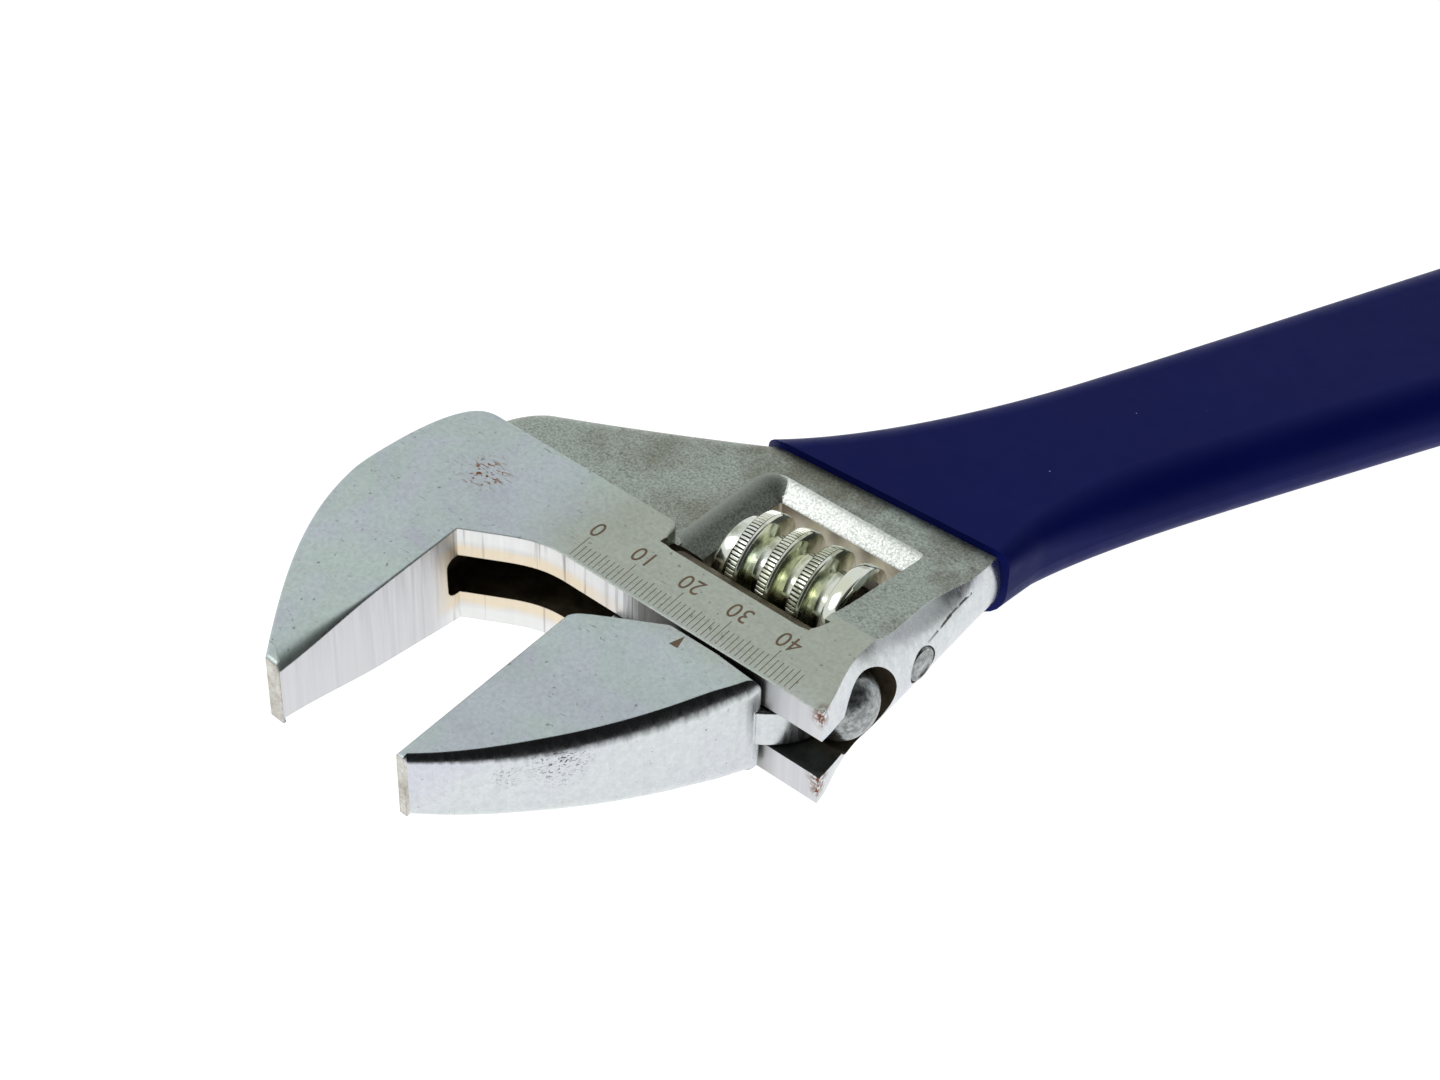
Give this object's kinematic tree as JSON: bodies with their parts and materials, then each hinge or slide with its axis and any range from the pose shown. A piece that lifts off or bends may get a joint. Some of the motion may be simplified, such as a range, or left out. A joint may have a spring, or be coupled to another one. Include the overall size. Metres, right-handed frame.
{
  "type": "adjustable wrench",
  "caption": "Adjustable wrench with a sliding jaw driven by a knurled worm, an etched opening scale and a dipped vinyl grip.",
  "frame": {"origin": "middle of the fixed jaw's flat gripping face", "axes": "+X is the gripping face's normal, the way the moving jaw opens; +Y runs from the jaws towards the handle; +Z is across the thickness, with the etched scale on the +Z side"},
  "size_m": [0.1879, 0.3549, 0.02],
  "materials": {
    "plated_steel": "satin zinc or nickel plating with pits, scratches and a little rust",
    "worm_steel": "bright zinc, finely knurled crests",
    "spring_steel": "bright wire",
    "vinyl": "smooth semi-matt navy"
  },
  "bodies": {
    "frame": {"body": "plated_steel", "worm_pin": "plated_steel", "worm_spring": "spring_steel", "grip_sleeve": "vinyl"},
    "jaw": {"moving_jaw": "plated_steel"},
    "worm": {"worm": "worm_steel"}
  },
  "joints": [
    {"name": "jaw_slide", "type": "slide", "parent": "frame", "child": "jaw", "axis": [1, 0, 0], "range_m": [-0.0268, 0.018]},
    {"name": "worm_spin", "type": "hinge", "parent": "frame", "child": "worm", "pos_m": [0.0305, 0.054, 0], "axis": [1, 0, 0], "range_deg": [-1010, 1500]}
  ],
  "couplings": [
    {"joint": "worm_spin", "follows": "jaw_slide", "rad_per_m": -974.14}
  ]
}
